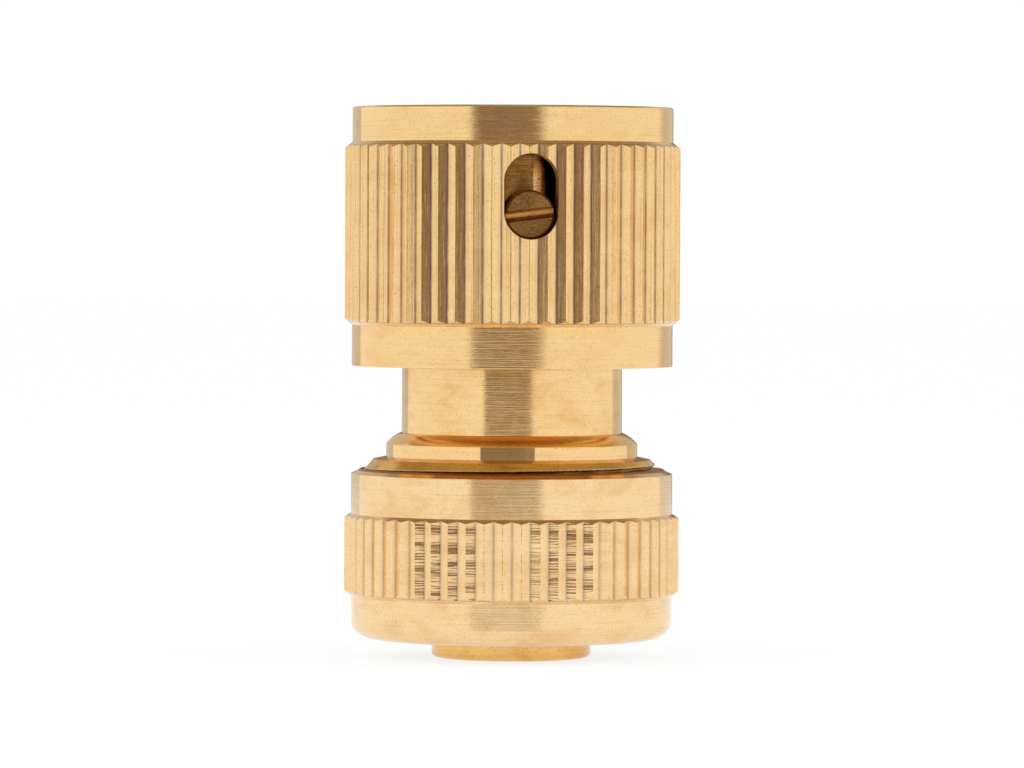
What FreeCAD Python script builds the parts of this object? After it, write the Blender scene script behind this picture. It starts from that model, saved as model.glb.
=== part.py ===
import FreeCAD, Part
import math
import os

# Hose connector with a waterstop, in turned brass.
# The axis is Z. The hose tail's end face is at z = 0 and the mouth for the plug is at the top.
# The guide screw and its long hole face -Y. Sizes are in millimetres, angles in degrees.
# Angles round the axis start at the front, -Y, and grow towards +X.
# The plug's bore and the hose tail set the diameters, and walls and gaps are added to them.

# Tail body
tail_length = 9.3
tail_d = 14.26
barb_depth = 0.53
tail_wall = 1.6
tail_land_length = 1.8
tail_end_round = 0.5
tail_end_inset = 0.6
barb_count = 3
barb_pitch = 2.1
threaded_length = 7.2
thread_end_chamfer = 0.7
shoulder_height = 1.25
shoulder_inset = 1.04
ledge_fall = 0.25
ring_wall = 1.34
ring_band_height = 1.13
ring_round_height = 0.97
ring_round_bulge = 0.1
ring_lip = 0.1
cup_depth = 6.9

# Socket body
mouth_bore_d = 17.9
mouth_bore_depth = 14.9
mouth_flange_height = 3.6
mouth_chamfer = 0.8
seal_bore_inset = 0.95
seal_bore_length = 4.1
nose_bore_inset = 0.8
nose_bore_length = 4.5
valve_seat_inset = 1.6
valve_web = 1.5
valve_cone_height = 1.4
valve_chamber_length = 8.75
valve_chamber_wall = 1.95
sleeve_wall = 1.45
neck_inset = 0.55
shoulder_gap = 0.2

# Release collar
collar_length = 23.14
collar_proud = 0.32
collar_wall = 1.8
spring_space = 2.15
collar_rim_chamfer = 0.15
upper_band_length = 3.12
lower_band_length = 3.67
collar_travel = 3.2
ramp_foot = 0.15
guide_land_length = 0.8

# Straight knurl, with the same teeth on the collar and the nut
collar_knurl_rise = 0.65
knurl_teeth = 57
knurl_depth = 0.34
knurl_chamfer_height = 0.55
collar_valley_angle = 2.4
nut_valley_angle = -6.15

# Locking balls
ball_d = 3.175
ball_count = 4
ball_depth = 11.4
ball_reach = 0.8
first_ball_angle = 45.0

# Guide screw
screw_head_d = 4.29
screw_sink = 1.4
screw_shank_d = 2.5
screw_shank_length = 0.95
screw_depth = 9.28
screw_slot_width = 0.85
screw_slot_depth = 0.9
screw_slot_tilt = 7.0
screw_edge_chamfer = 0.12
slot_side_gap = 0.255
spot_face_depth = 0.25

# Collar spring, its seat ring and the snap ring
collar_spring_wire_d = 0.8
collar_spring_turns = 3.5
seat_ring_thickness = 0.8
snap_ring_thickness = 0.65
snap_ring_proud = 0.95
snap_ring_gap_angle = 50.0
snap_groove_depth = 0.5
snap_recess = 0.25

# Both springs are drawn with this many steps a turn and sides round the wire
coil_steps = 14
wire_sides = 8

# Waterstop valve
plunger_flange_gap = 1.2
plunger_flange_height = 1.4
plunger_neck_gap = 0.6
plunger_crown_gap = 0.2
plunger_rib_count = 4
plunger_rib_width = 1.4
plunger_core_d = 3.4
plunger_stem_d = 3.0
plunger_stem_length = 9.6
plunger_boss_height = 0.8
valve_travel = 3.6
plug_tip_gap = 0.35
valve_seal_wire_d = 1.5
valve_spring_wire_d = 0.6
valve_spring_gap = 1.15
valve_spring_turns = 4.5
guide_flange_lap = 0.2
guide_flange_width = 1.8
guide_wall = 0.8
guide_depth = 2.1
guide_floor = 1.0
guide_hole_count = 6
guide_hole_share = 0.64
body_seal_thickness = 1.0

# Hose nut and grip collet
nut_bottom_z = 1.7
nut_length = 15.2
nut_knurl_rise = 0.615
nut_wall = 0.885
nut_top_chamfer_width = 0.75
nut_top_chamfer_height = 0.45
nut_lower_band = 3.79
nut_knurl_length = 7.41
nut_upper_chamfer_height = 0.38
nut_corner_height = 1.5
nut_corner_width = 2.1
nut_opening_gap = 0.65
nut_lip = 1.6
hose_wall = 1.97
collet_height = 5.4
collet_rim_height = 0.9
collet_rim_width = 1.5
collet_slot_count = 8
collet_slot_width = 1.2
collet_tooth_count = 3
collet_tooth_depth = 0.35
collet_tip_wall = 0.95

# Clearances
running = 0.05
seated = 0.03
screwed = 0.05
sliding = 0.08
loose = 0.3
stop_gap = 0.035

# Diameters of the socket body and the collar, outwards from the plug's bore
sleeve_d = mouth_bore_d + 2 * sleeve_wall
neck_d = sleeve_d - 2 * neck_inset
collar_bore_d = sleeve_d + 2 * spring_space
collar_band_d = collar_bore_d + 2 * collar_wall
knurl_d = collar_band_d + 2 * collar_knurl_rise

# Bores of the socket body and the waterstop in them, inwards from the plug's bore
seal_bore_d = mouth_bore_d - 2 * seal_bore_inset
nose_bore_d = seal_bore_d - 2 * nose_bore_inset
valve_seat_d = nose_bore_d - 2 * valve_seat_inset
valve_chamber_d = neck_d - 2 * valve_chamber_wall
plunger_flange_d = valve_chamber_d - 2 * plunger_flange_gap
plunger_neck_d = valve_seat_d - 2 * plunger_neck_gap
plunger_crown_d = valve_seat_d - 2 * plunger_crown_gap
guide_flange_d = valve_chamber_d + 2 * guide_flange_lap
guide_bore_d = guide_flange_d - 2 * guide_flange_width
valve_spring_d = guide_bore_d - 2 * valve_spring_gap - valve_spring_wire_d

# Diameters of the tail, the nut and the collet
nut_band_d = knurl_d - 2 * nut_knurl_rise
nut_bore_d = nut_band_d - 2 * nut_wall
thread_d = nut_bore_d - 2 * running
ledge_d = thread_d - 2 * shoulder_inset
cup_d = neck_d + 2 * screwed
ring_d = cup_d + 2 * ring_wall
tail_root_d = tail_d - 2 * barb_depth
waterway_d = tail_root_d - 2 * tail_wall
collet_bore_d = tail_d + 2 * hose_wall
nut_opening_d = collet_bore_d + 2 * nut_opening_gap

# Heights along the axis
tail_face_z = tail_length
ledge_z = tail_face_z + threaded_length + shoulder_height
ring_foot_z = ledge_z + ledge_fall
ring_edge_z = ring_foot_z + ring_band_height
ring_top_z = ring_edge_z + ring_round_height
cup_floor_z = ring_top_z - cup_depth
socket_foot_z = cup_floor_z + body_seal_thickness
web_foot_z = socket_foot_z + valve_chamber_length
web_top_z = web_foot_z + valve_web
seal_bore_foot_z = web_top_z + nose_bore_length
seal_bore_top_z = seal_bore_foot_z + seal_bore_length
mouth_bore_foot_z = seal_bore_top_z + seal_bore_inset
mouth_z = mouth_bore_foot_z + mouth_bore_depth
flange_foot_z = mouth_z - mouth_flange_height
ball_z = mouth_z - ball_depth
screw_z = mouth_z - screw_depth
collar_top_z = mouth_z + collar_proud
collar_foot_z = collar_top_z - collar_length
snap_foot_z = collar_foot_z + snap_recess
seat_foot_z = snap_foot_z + snap_ring_thickness
seat_top_z = seat_foot_z + seat_ring_thickness
sleeve_foot_z = seat_top_z + shoulder_gap
guide_floor_z = cup_floor_z - guide_depth
nut_top_z = nut_bottom_z + nut_length
collet_top_z = tail_face_z - running
collet_foot_z = collet_top_z - collet_height

# Places that follow from the fits
collar_bore_r = collar_bore_d / 2
mouth_flange_r = collar_bore_r - sliding
guide_land_r = sleeve_d / 2 + sliding
nut_bore_r = nut_bore_d / 2
ball_r = ball_d / 2
ball_seat_r = mouth_bore_d / 2 + ball_r - ball_reach
ramp_slope = ball_reach / collar_travel
ramp_reach = (ball_r + seated) * math.hypot(1, ramp_slope)
land_top_z = ball_z - ball_r - ramp_foot
land_foot_z = land_top_z - guide_land_length
screw_seat_y = -(sleeve_d / 2 - spot_face_depth)
screw_face_y = -(knurl_d / 2 - screw_sink)
slot_width = screw_head_d + 2 * slot_side_gap


def in_profile(point):
    return FreeCAD.Vector(point[0], 0, point[1])


def turned(start, *steps):
    # Each step is the next (radius, height), or a pair of them for an arc: a point on it and its end.
    edges = []
    here = start
    for step in steps + (start,):
        if isinstance(step[0], tuple):
            through, end = step
            edges.append(Part.Arc(in_profile(here), in_profile(through), in_profile(end)).toShape())
            here = end
        else:
            edges.append(Part.makeLine(in_profile(here), in_profile(step)))
            here = step
    face = Part.Face(Part.Wire(edges))
    return face.revolve(FreeCAD.Vector(0, 0, 0), FreeCAD.Vector(0, 0, 1), 360)


def round_bar(diameter, low_z, high_z):
    return Part.makeCylinder(diameter / 2, high_z - low_z, FreeCAD.Vector(0, 0, low_z))


def turn_about_axis(shape, angle):
    return shape.rotated(FreeCAD.Vector(0, 0, 0), FreeCAD.Vector(0, 0, 1), angle)


def all_round(shape, count):
    return [turn_about_axis(shape, 360.0 * step / count) for step in range(count)]


def front_point(radius, angle, height):
    around = math.radians(angle)
    return FreeCAD.Vector(radius * math.sin(around), -radius * math.cos(around), height)


def knurled(blank, valley_angle, low_z, high_z):
    # The teeth are trimmed from the blank by one prism with a crest and a valley for each tooth.
    tooth_angle = 360.0 / knurl_teeth
    outline = []
    for tooth in range(knurl_teeth):
        valley = valley_angle + tooth * tooth_angle
        outline.append(front_point(knurl_d / 2 - knurl_depth, valley, low_z))
        outline.append(front_point(knurl_d / 2, valley + tooth_angle / 2, low_z))
    outline.append(outline[0])
    prism = Part.Face(Part.makePolygon(outline)).extrude(FreeCAD.Vector(0, 0, high_z - low_z))
    return blank.common(prism)


def coil(mean_d, wire_d, low_z, high_z, turns):
    # The wire runs straight from step to step, with an eight-sided section and mitred corners.
    coil_r = mean_d / 2
    foot_z = low_z + wire_d / 2
    rise = high_z - low_z - wire_d
    steps = round(turns * coil_steps)
    points = []
    for step in range(steps + 1):
        around = 2 * math.pi * turns * step / steps
        height = foot_z + rise * step / steps
        points.append(FreeCAD.Vector(coil_r * math.cos(around), coil_r * math.sin(around), height))
    edge_circle = Part.Circle(points[0], points[1] - points[0], wire_d / 2)
    corners = [edge_circle.value(2 * math.pi * side / wire_sides) for side in range(wire_sides)]
    section = Part.makePolygon(corners + corners[:1])
    return Part.Wire(Part.makePolygon(points)).makePipeShell([section], True, False, 1)


# Tail body: hose tail, threaded part, ring and the cup that takes the socket's neck
def make_tail_body():
    tail_r = tail_d / 2
    root_r = tail_root_d / 2
    end_r = tail_r - tail_end_inset
    thread_r = thread_d / 2
    ring_r = ring_d / 2
    lip_r = cup_d / 2 + ring_lip
    round_length = math.hypot(ring_r - lip_r, ring_round_height)
    bulge_r = (ring_r + lip_r) / 2 + ring_round_bulge * ring_round_height / round_length
    bulge_z = (ring_edge_z + ring_top_z) / 2 + ring_round_bulge * (ring_r - lip_r) / round_length
    barbs = []
    low_z = tail_end_round + tail_land_length
    barbs.append((root_r, low_z))
    for barb in range(1, barb_count):
        crest_z = low_z + barb * barb_pitch
        barbs.append((tail_r, crest_z))
        barbs.append((root_r, crest_z))
    pocket_r = guide_bore_d / 2 + guide_wall + loose
    pocket_z = guide_floor_z - loose
    waterway_r = waterway_d / 2
    return turned(
        (waterway_r, 0),
        (end_r, 0),
        (tail_r, tail_end_round),
        (tail_r, low_z),
        *barbs,
        (root_r, tail_face_z),
        (thread_r - thread_end_chamfer, tail_face_z),
        (thread_r, tail_face_z + thread_end_chamfer),
        (thread_r, ledge_z - shoulder_height),
        (ledge_d / 2, ledge_z),
        (ring_r, ring_foot_z),
        (ring_r, ring_edge_z),
        ((bulge_r, bulge_z), (lip_r, ring_top_z)),
        (cup_d / 2, ring_top_z),
        (cup_d / 2, cup_floor_z),
        (pocket_r, cup_floor_z),
        (pocket_r, pocket_z),
        (waterway_r, pocket_z),
    )


# Socket body: mouth, ball holes, sleeve, neck and the valve's seat and chamber
def make_socket_body():
    mouth_r = mouth_bore_d / 2
    seal_r = seal_bore_d / 2
    nose_r = nose_bore_d / 2
    seat_r = valve_seat_d / 2
    chamber_r = valve_chamber_d / 2
    neck_r = neck_d / 2
    groove_r = neck_r - snap_groove_depth
    body = turned(
        (chamber_r, socket_foot_z),
        (neck_r, socket_foot_z),
        (neck_r, snap_foot_z - seated),
        (groove_r, snap_foot_z - seated),
        (groove_r, seat_foot_z),
        (neck_r, seat_foot_z),
        (neck_r, sleeve_foot_z),
        (sleeve_d / 2, sleeve_foot_z),
        (sleeve_d / 2, flange_foot_z),
        (mouth_flange_r, flange_foot_z),
        (mouth_flange_r, mouth_z - collar_rim_chamfer),
        (mouth_flange_r - collar_rim_chamfer, mouth_z),
        (mouth_r + mouth_chamfer, mouth_z),
        (mouth_r, mouth_z - mouth_chamfer),
        (mouth_r, mouth_bore_foot_z),
        (seal_r, seal_bore_top_z),
        (seal_r, seal_bore_foot_z),
        (nose_r, seal_bore_foot_z),
        (nose_r, web_top_z),
        (seat_r, web_top_z),
        (seat_r, web_foot_z),
        (seat_r + valve_cone_height, web_foot_z - valve_cone_height),
        (chamber_r, web_foot_z - valve_cone_height),
    )
    hole_r = ball_r + running
    outside = FreeCAD.Vector(1, 0, 0)
    seat_point = FreeCAD.Vector(ball_seat_r, 0, ball_z)
    hole = Part.makeSphere(hole_r, seat_point).fuse(
        Part.makeCylinder(hole_r, sleeve_d / 2, seat_point, outside)
    )
    hole = turn_about_axis(hole, first_ball_angle - 90)
    body = body.cut(all_round(hole, ball_count))
    forward = FreeCAD.Vector(0, -1, 0)
    spot = Part.makeCylinder(
        screw_head_d / 2 + 2 * running, sleeve_d / 2, FreeCAD.Vector(0, screw_seat_y, screw_z), forward
    )
    screw_hole = Part.makeCylinder(
        screw_shank_d / 2 + seated, sleeve_d / 2, FreeCAD.Vector(0, 0, screw_z), forward
    )
    return body.cut([spot, screw_hole])


def make_guide_screw():
    forward = FreeCAD.Vector(0, -1, 0)
    seat = FreeCAD.Vector(0, screw_seat_y, screw_z)
    edge_y = screw_face_y + screw_edge_chamfer
    head = Part.makeCylinder(screw_head_d / 2, screw_seat_y - edge_y, seat, forward)
    edge = Part.makeCone(
        screw_head_d / 2,
        screw_head_d / 2 - screw_edge_chamfer,
        screw_edge_chamfer,
        FreeCAD.Vector(0, edge_y, screw_z),
        forward,
    )
    shank = Part.makeCylinder(screw_shank_d / 2, screw_shank_length, seat, FreeCAD.Vector(0, 1, 0))
    groove = Part.makeBox(
        2 * screw_head_d,
        2 * screw_slot_depth,
        screw_slot_width,
        FreeCAD.Vector(-screw_head_d, screw_face_y - screw_slot_depth, screw_z - screw_slot_width / 2),
    )
    groove.rotate(FreeCAD.Vector(0, 0, screw_z), forward, screw_slot_tilt)
    return head.fuse([edge, shank]).removeSplitter().cut(groove)


# Release collar: bands, knurl, long hole, the ramp over the balls and the ledge over the spring
def make_release_collar():
    band_r = collar_band_d / 2
    bore_r = collar_bore_r
    blank_r = knurl_d / 2 + knurl_depth
    chamfer_run = knurl_chamfer_height / (knurl_d / 2 - band_r) * (blank_r - band_r)
    knurl_foot_z = collar_foot_z + lower_band_length
    knurl_top_z = collar_top_z - upper_band_length
    ramp_foot_r = ball_seat_r + ramp_reach + ramp_slope * (land_top_z - ball_z)
    ramp_top_z = ball_z + (bore_r - ball_seat_r - ramp_reach) / ramp_slope
    blank = turned(
        (bore_r, collar_foot_z),
        (band_r, collar_foot_z),
        (band_r, knurl_foot_z),
        (blank_r, knurl_foot_z + chamfer_run),
        (blank_r, knurl_top_z - chamfer_run),
        (band_r, knurl_top_z),
        (band_r, collar_top_z - collar_rim_chamfer),
        (band_r - collar_rim_chamfer, collar_top_z),
        (bore_r + collar_rim_chamfer, collar_top_z),
        (bore_r, collar_top_z - collar_rim_chamfer),
        (bore_r, ramp_top_z),
        (ramp_foot_r, land_top_z),
        (guide_land_r, land_top_z),
        (guide_land_r, land_foot_z),
        (bore_r, land_foot_z),
    )
    collar = knurled(blank, collar_valley_angle, collar_foot_z, collar_top_z)
    forward = FreeCAD.Vector(0, -1, 0)
    slot_low = screw_z - screw_head_d / 2 - stop_gap + slot_width / 2
    slot_high = screw_z + collar_travel + screw_head_d / 2 + stop_gap - slot_width / 2
    ends = [
        Part.makeCylinder(slot_width / 2, knurl_d, FreeCAD.Vector(0, 0, end_z), forward)
        for end_z in (slot_low, slot_high)
    ]
    middle = Part.makeBox(
        slot_width, knurl_d, slot_high - slot_low, FreeCAD.Vector(-slot_width / 2, -knurl_d, slot_low)
    )
    return collar.cut(ends[0].fuse([ends[1], middle]).removeSplitter())


def make_lock_ball(number):
    centre = front_point(ball_seat_r, first_ball_angle + 360.0 * number / ball_count, ball_z)
    return Part.makeSphere(ball_r, centre)


def make_collar_spring():
    mean_d = sleeve_d / 2 + collar_bore_r
    return coil(
        mean_d, collar_spring_wire_d, seat_top_z + seated, land_foot_z - seated, collar_spring_turns
    )


def make_spring_seat_ring():
    inner_r = neck_d / 2 + sliding
    outer_r = collar_bore_r - loose / 2
    return turned(
        (inner_r, seat_foot_z), (outer_r, seat_foot_z), (outer_r, seat_top_z), (inner_r, seat_top_z)
    )


def make_retaining_ring():
    inner_r = neck_d / 2 - snap_groove_depth + seated
    outer_r = neck_d / 2 + snap_ring_proud
    ring = turned(
        (inner_r, snap_foot_z), (outer_r, snap_foot_z), (outer_r, seat_foot_z), (inner_r, seat_foot_z)
    )
    gap_width = 2 * outer_r * math.sin(math.radians(snap_ring_gap_angle / 2))
    gap = Part.makeBox(
        gap_width, 2 * outer_r, snap_ring_thickness, FreeCAD.Vector(-gap_width / 2, 0, snap_foot_z)
    )
    return ring.cut(gap)


# Waterstop: plunger, its ring, the spring under it and the basket that carries both
def seal_centre():
    neck_r = plunger_neck_d / 2
    wire_r = valve_seal_wire_d / 2
    seal_r = neck_r + wire_r
    cone_sum = valve_seat_d / 2 + web_foot_z
    return seal_r, cone_sum - (wire_r + seated) * math.sqrt(2) - seal_r


def make_valve_seal():
    seal_r, seal_z = seal_centre()
    corners = []
    for side in range(wire_sides):
        around = 2 * math.pi * (side + 0.5) / wire_sides
        corner_r = valve_seal_wire_d / 2 / math.cos(math.pi / wire_sides)
        corners.append((seal_r + corner_r * math.cos(around), seal_z + corner_r * math.sin(around)))
    return turned(*corners)


def plunger_flange_top():
    return seal_centre()[1] - valve_seal_wire_d / 2


def make_valve_plunger():
    flange_top_z = plunger_flange_top()
    flange_foot = flange_top_z - plunger_flange_height
    crown_foot_z = flange_top_z + valve_seal_wire_d
    crown_top_z = web_top_z + plug_tip_gap + valve_travel
    boss_d = valve_spring_d - valve_spring_wire_d - loose
    plunger = round_bar(plunger_flange_d, flange_foot, flange_top_z).fuse(
        [
            round_bar(plunger_neck_d, flange_top_z, crown_foot_z),
            round_bar(boss_d, flange_foot - plunger_boss_height, flange_foot),
            round_bar(plunger_stem_d, flange_foot - plunger_stem_length, flange_foot),
            round_bar(plunger_core_d, crown_foot_z, crown_top_z),
        ]
    )
    cross = Part.makeBox(
        plunger_crown_d / 2,
        plunger_rib_width,
        crown_top_z - crown_foot_z,
        FreeCAD.Vector(0, -plunger_rib_width / 2, crown_foot_z),
    )
    ribs = [rib.common(round_bar(plunger_crown_d, crown_foot_z, crown_top_z))
            for rib in all_round(cross, plunger_rib_count)]
    return plunger.fuse(ribs).removeSplitter()


def make_valve_guide():
    wall_r = guide_bore_d / 2
    outer_r = wall_r + guide_wall
    hub_r = plunger_stem_d / 2 + sliding
    floor_top_z = guide_floor_z + guide_floor
    guide = turned(
        (hub_r, guide_floor_z),
        (outer_r, guide_floor_z),
        (outer_r, cup_floor_z),
        (guide_flange_d / 2, cup_floor_z),
        (guide_flange_d / 2, socket_foot_z),
        (wall_r, socket_foot_z),
        (wall_r, floor_top_z),
        (hub_r, floor_top_z),
    )
    spring_inner_r = (valve_spring_d - valve_spring_wire_d) / 2
    middle_r = (hub_r + spring_inner_r) / 2
    hole = round_bar(guide_hole_share * (spring_inner_r - hub_r), guide_floor_z, floor_top_z)
    hole.translate(FreeCAD.Vector(middle_r, 0, 0))
    return guide.cut(all_round(hole, guide_hole_count))


def make_valve_spring():
    return coil(
        valve_spring_d,
        valve_spring_wire_d,
        guide_floor_z + guide_floor + seated,
        plunger_flange_top() - plunger_flange_height - seated,
        valve_spring_turns,
    )


def make_body_seal():
    inner_r = guide_flange_d / 2 + sliding
    outer_r = cup_d / 2 - sliding
    return turned(
        (inner_r, cup_floor_z), (outer_r, cup_floor_z), (outer_r, socket_foot_z), (inner_r, socket_foot_z)
    )


# Hose nut: knurl, bands, thread bore and the cone that closes the collet
def make_hose_nut():
    band_r = nut_band_d / 2
    blank_r = knurl_d / 2 + knurl_depth
    lower_run = knurl_chamfer_height / (knurl_d / 2 - band_r) * (blank_r - band_r)
    upper_run = nut_upper_chamfer_height / (knurl_d / 2 - band_r) * (blank_r - band_r)
    knurl_foot_z = nut_bottom_z + nut_lower_band
    knurl_top_z = knurl_foot_z + nut_knurl_length
    corner_r = band_r - nut_corner_width
    corner_mid = (
        corner_r + nut_corner_width * math.sin(math.radians(45)),
        nut_bottom_z + nut_corner_height * (1 - math.cos(math.radians(45))),
    )
    cone_foot_r, cone_top_r = collet_cone_radii()
    blank = turned(
        (nut_opening_d / 2, nut_bottom_z),
        (corner_r, nut_bottom_z),
        (corner_mid, (band_r, nut_bottom_z + nut_corner_height)),
        (band_r, knurl_foot_z),
        (blank_r, knurl_foot_z + lower_run),
        (blank_r, knurl_top_z - upper_run),
        (band_r, knurl_top_z),
        (band_r, nut_top_z - nut_top_chamfer_height),
        (band_r - nut_top_chamfer_width, nut_top_z),
        (nut_bore_r, nut_top_z),
        (nut_bore_r, collet_top_z - collet_rim_height),
        (cone_top_r + running, collet_top_z - collet_rim_height),
        (cone_foot_r + running, collet_foot_z),
        (cone_foot_r + running, nut_bottom_z + nut_lip),
        (nut_opening_d / 2, nut_bottom_z + nut_lip),
    )
    return knurled(blank, nut_valley_angle, nut_bottom_z, nut_top_z)


def collet_cone_radii():
    return collet_bore_d / 2 + collet_tip_wall, nut_bore_r - collet_rim_width


def make_grip_collet():
    bore_r = collet_bore_d / 2
    foot_r, top_r = collet_cone_radii()
    rim_z = collet_top_z - collet_rim_height
    tooth_pitch = (rim_z - collet_foot_z) / (collet_tooth_count + 1)
    teeth = []
    for tooth in range(collet_tooth_count):
        low_z = collet_foot_z + tooth_pitch * (collet_tooth_count - tooth - 1)
        teeth.append((bore_r, low_z + tooth_pitch))
        teeth.append((bore_r + collet_tooth_depth, low_z))
    ring = turned(
        (bore_r + collet_tooth_depth, collet_top_z),
        (bore_r + collet_tooth_depth, rim_z),
        *teeth,
        (foot_r, collet_foot_z),
        (top_r, rim_z),
        (nut_bore_r - running, rim_z),
        (nut_bore_r - running, collet_top_z),
    )
    cut = Part.makeBox(
        knurl_d,
        collet_slot_width,
        rim_z - collet_foot_z,
        FreeCAD.Vector(0, -collet_slot_width / 2, collet_foot_z),
    )
    return ring.cut(all_round(cut, collet_slot_count))


pieces = {
    "tail_body": make_tail_body(),
    "socket_body": make_socket_body(),
    "guide_screw": make_guide_screw(),
    "release_collar": make_release_collar(),
    "collar_spring": make_collar_spring(),
    "spring_seat_ring": make_spring_seat_ring(),
    "retaining_ring": make_retaining_ring(),
    "valve_plunger": make_valve_plunger(),
    "valve_seal": make_valve_seal(),
    "valve_spring": make_valve_spring(),
    "valve_guide": make_valve_guide(),
    "body_seal": make_body_seal(),
    "hose_nut": make_hose_nut(),
    "grip_collet": make_grip_collet(),
}
for ball_number in range(ball_count):
    pieces["lock_ball_" + str(ball_number + 1)] = make_lock_ball(ball_number)

os.makedirs("parts", exist_ok=True)
for name, shape in pieces.items():
    solid = shape.Solids[0] if len(shape.Solids) == 1 else shape
    solid.exportStep("parts/" + name + ".step")
    print(name, "solids", len(shape.Solids), "valid", shape.isValid(), "volume", round(shape.Volume, 2))
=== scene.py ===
import bpy, bmesh, math
from mathutils import Matrix, Vector, noise


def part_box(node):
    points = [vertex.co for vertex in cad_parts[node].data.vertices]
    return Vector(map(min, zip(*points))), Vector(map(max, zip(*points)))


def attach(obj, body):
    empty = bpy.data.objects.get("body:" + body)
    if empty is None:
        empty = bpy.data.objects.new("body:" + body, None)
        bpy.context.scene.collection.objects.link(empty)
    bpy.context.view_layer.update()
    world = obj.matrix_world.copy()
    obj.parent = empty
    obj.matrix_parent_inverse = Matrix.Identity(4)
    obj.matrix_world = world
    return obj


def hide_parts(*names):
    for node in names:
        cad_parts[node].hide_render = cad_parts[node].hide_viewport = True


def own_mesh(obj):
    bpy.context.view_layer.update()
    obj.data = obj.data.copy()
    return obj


# Waterstop hose connector in turned brass.
# Sizes of the pieces are in mm, those of the studio, the lamps and the view in metres.
# The guide screw faces -Y, and angles round the axis start there and grow towards +X.

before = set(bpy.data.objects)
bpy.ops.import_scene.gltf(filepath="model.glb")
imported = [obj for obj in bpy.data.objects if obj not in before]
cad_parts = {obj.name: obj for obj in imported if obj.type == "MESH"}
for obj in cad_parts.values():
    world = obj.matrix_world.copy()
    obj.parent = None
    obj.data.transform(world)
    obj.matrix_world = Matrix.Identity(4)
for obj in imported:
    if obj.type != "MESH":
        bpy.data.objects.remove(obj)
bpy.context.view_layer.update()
mm = 0.001
mergeGap = 0.0002 * mm      # corners closer than this are one
margin = 0.1                # how far past a size, in mm, a face counts as beyond it
hair = 0.02                 # the same where faces lie close together
print("frame loaded")


def front(radius, angle, height):  # a point round the axis, from mm and degrees
    around = math.radians(angle)
    return Vector((radius * math.sin(around), -radius * math.cos(around), height)) * mm


def lowHigh(node):  # a node's lowest and highest point, in mm
    low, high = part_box(node)
    return low[2] / mm, high[2] / mm


def meshObject(name, bm):  # the shape as an object in the scene
    mesh = bpy.data.meshes.new(name)
    bm.to_mesh(mesh)
    bm.free()
    thing = bpy.data.objects.new(name, mesh)
    bpy.context.scene.collection.objects.link(thing)
    return thing


# helpers for turned shapes
def profileLoop(points):  # closed wire in the XZ plane from (radius, height) pairs
    bm = bmesh.new()
    verts = [bm.verts.new((r * mm, 0, z * mm)) for r, z in points]
    for here, after in zip(verts, verts[1:] + verts[:1]):
        bm.edges.new((here, after))
    return bm


def arcPoints(centre, size, start, end, steps):  # part of an ellipse, angles from the radius outwards
    points = []
    for step in range(steps + 1):
        a = math.radians(start + (end - start) * step / steps)
        points.append((centre[0] + size[0] * math.cos(a), centre[1] + size[1] * math.sin(a)))
    return points


def softenCorners(bm, size, keep=lambda v: False):  # tiny rounds, as a lathe tool leaves
    minAngle = 25
    minLength = 2.5 * size * mm     # shorter lines have no room for a round
    corners = []
    for v in bm.verts:
        a, b = [e.other_vert(v).co - v.co for e in v.link_edges]
        if math.degrees(math.pi - a.angle(b)) > minAngle and min(a.length, b.length) > minLength:
            if not keep(v):
                corners.append(v)
    bmesh.ops.bevel(bm, geom=corners, affect="VERTICES", offset=size * mm, segments=3,
                    profile=0.5, material=-1)


def turn(bm, steps):  # the profile once round the axis
    bmesh.ops.spin(bm, geom=bm.verts[:] + bm.edges[:], cent=(0, 0, 0), axis=(0, 0, 1),
                   angle=2 * math.pi, steps=steps, use_merge=True)


def markSharp(bm, sharpAngle):
    for face in bm.faces:
        face.smooth = True
    for edge in bm.edges:
        edge.smooth = len(edge.link_faces) == 2 and edge.calc_face_angle() < math.radians(sharpAngle)


def finishPiece(name, bm, material, body, node, sharpAngle=28, patches=()):
    bmesh.ops.remove_doubles(bm, verts=bm.verts, dist=mergeGap)
    bmesh.ops.recalc_face_normals(bm, faces=bm.faces)
    markSharp(bm, sharpAngle)
    piece = meshObject(name, bm)
    mesh = piece.data
    mesh.materials.append(material)
    for number, (finish, chosen) in enumerate(patches, 1):  # other finishes on the chosen faces
        mesh.materials.append(finish)
        for face in mesh.polygons:
            middle = face.center / mm
            if chosen(middle.xy.length, middle.z, middle):
                face.material_index = number
    even = piece.modifiers.new("evenNormals", "WEIGHTED_NORMAL")  # long faces stay flat beside small rounds
    even.keep_sharp = True
    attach(piece, body)
    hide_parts(node)
    return piece


def cutAway(bm, cutters):  # what the cutters hold is taken out of the shape
    bmesh.ops.remove_doubles(bm, verts=bm.verts, dist=mergeGap)
    objects = []
    for source in (bm, cutters):
        bmesh.ops.recalc_face_normals(source, faces=source.faces)
        objects.append(meshObject("work", source))
    blank, tool = objects
    cut = blank.modifiers.new("cut", "BOOLEAN")
    cut.operation = "DIFFERENCE"
    cut.solver = "EXACT"
    cut.object = tool
    result = bpy.data.meshes.new_from_object(blank.evaluated_get(bpy.context.evaluated_depsgraph_get()))
    done = bmesh.new()
    done.from_mesh(result)
    for thing in objects:
        bpy.data.meshes.remove(thing.data)
    bpy.data.meshes.remove(result)
    return done


def drill(bm, radius, start, end, segments=48):  # a round bar between two points, added to bm
    along = end - start
    turnTo = along.to_track_quat("Z", "Y").to_matrix().to_4x4()
    place = Matrix.Translation((start + end) / 2) @ turnTo
    bmesh.ops.create_cone(bm, cap_ends=True, segments=segments, radius1=radius * mm, radius2=radius * mm,
                          depth=along.length, matrix=place)


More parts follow.
